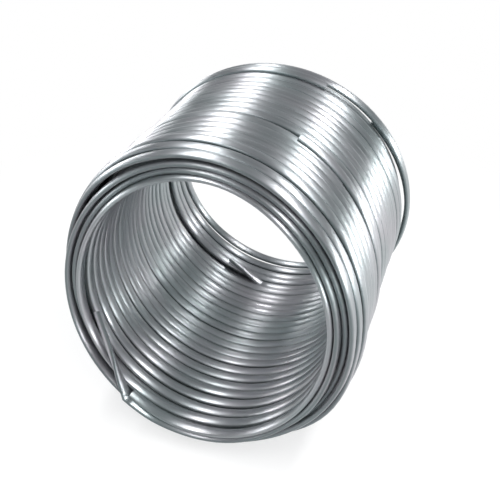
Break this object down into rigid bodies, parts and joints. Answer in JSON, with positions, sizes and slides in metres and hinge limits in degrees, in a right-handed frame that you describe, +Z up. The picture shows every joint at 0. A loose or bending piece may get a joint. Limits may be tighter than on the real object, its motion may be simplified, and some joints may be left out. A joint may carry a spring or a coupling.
{
  "type": "coil of magnesium ribbon",
  "caption": "Coil of flat, bright magnesium ribbon wound in layers round an open bore, with square-cut loose ends inside and outside.",
  "frame": {"origin": "on the floor, under the middle of the coil", "axes": "+Y along the coil's axis, from the end that shows to the far end; +Z up; +X to the right, seen from the end that shows"},
  "size_m": [0.4889, 0.4692, 0.4821],
  "materials": {
    "ribbon": "bright drawn metal"
  },
  "bodies": {
    "root": {"ribbon_coil": "ribbon"}
  },
  "joints": []
}
